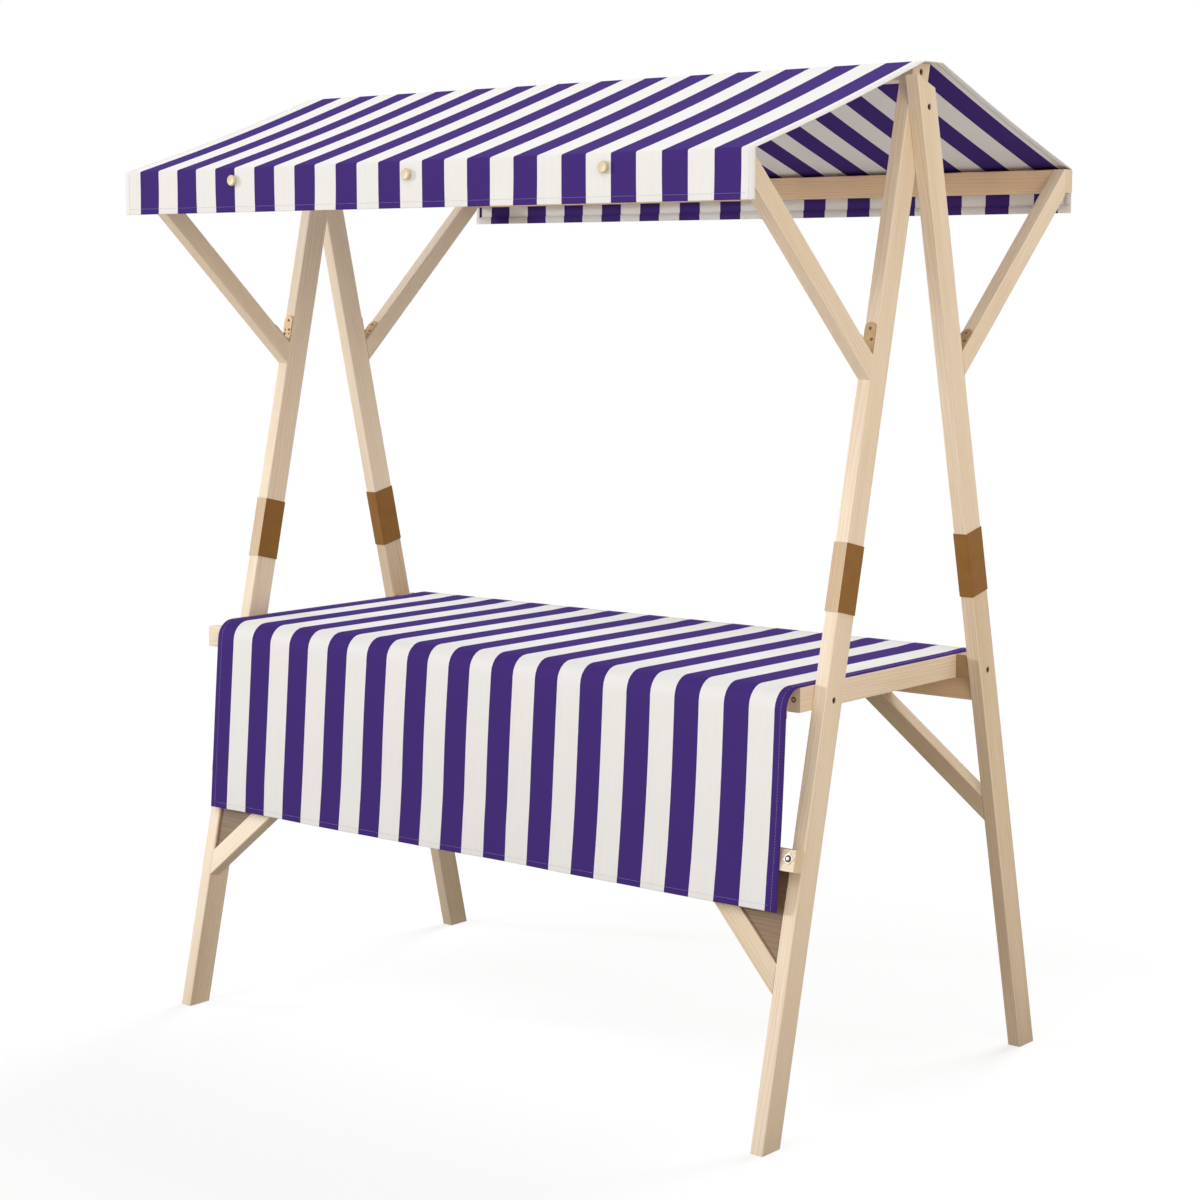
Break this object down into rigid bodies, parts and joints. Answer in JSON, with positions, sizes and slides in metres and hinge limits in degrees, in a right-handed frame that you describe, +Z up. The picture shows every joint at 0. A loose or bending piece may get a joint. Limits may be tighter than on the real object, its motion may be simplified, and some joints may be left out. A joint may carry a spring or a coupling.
{
  "type": "portable market stall",
  "caption": "Portable timber market stall: A-frame ends with crossing legs, a striped pitched canopy with valances on strutted eave rails, and a counter under a striped cloth.",
  "frame": {"origin": "on the ground, at the centre of the stall's footprint", "axes": "+Z up, X along the counter, -Y towards the customer"},
  "size_m": [1.8332, 1.265, 2.238],
  "materials": {
    "timber": "planed, unfinished",
    "sleeve": "satin brown",
    "plate": "planed, darker than the legs",
    "gusset": "plywood, unfinished",
    "strap": "dull brown",
    "canopy_cloth": "matt, purple and white stripes",
    "counter_cloth": "matt, purple and white stripes",
    "button": "turned, unfinished"
  },
  "bodies": {
    "root": {"right_front_leg_lower": "timber", "right_front_leg_upper": "timber", "right_rear_leg_lower": "timber", "right_rear_leg_upper": "timber", "left_front_leg_lower": "timber", "left_front_leg_upper": "timber", "left_rear_leg_lower": "timber", "left_rear_leg_upper": "timber", "ridge_beam": "timber", "front_eave_rail": "timber", "rear_eave_rail": "timber", "right_front_strut": "timber", "right_rear_strut": "timber", "left_front_strut": "timber", "left_rear_strut": "timber", "right_end_rail": "timber", "left_end_rail": "timber", "right_spacer": "timber", "left_spacer": "timber", "rear_table_rail": "timber", "front_table_batten": "timber", "rear_table_batten": "timber", "counter_board": "timber", "front_lower_rail": "timber", "right_front_brace": "timber", "right_rear_brace": "timber", "left_front_brace": "timber", "left_rear_brace": "timber", "right_front_sleeve": "sleeve", "right_rear_sleeve": "sleeve", "left_front_sleeve": "sleeve", "left_rear_sleeve": "sleeve", "right_front_plate": "plate", "right_rear_plate": "plate", "left_front_plate": "plate", "left_rear_plate": "plate", "right_front_strap": "strap", "right_rear_strap": "strap", "left_front_strap": "strap", "left_rear_strap": "strap", "front_gussets": "gusset", "canopy_cloth": "canopy_cloth", "counter_cloth": "counter_cloth", "front_buttons": "button", "rear_buttons": "button"}
  },
  "joints": []
}
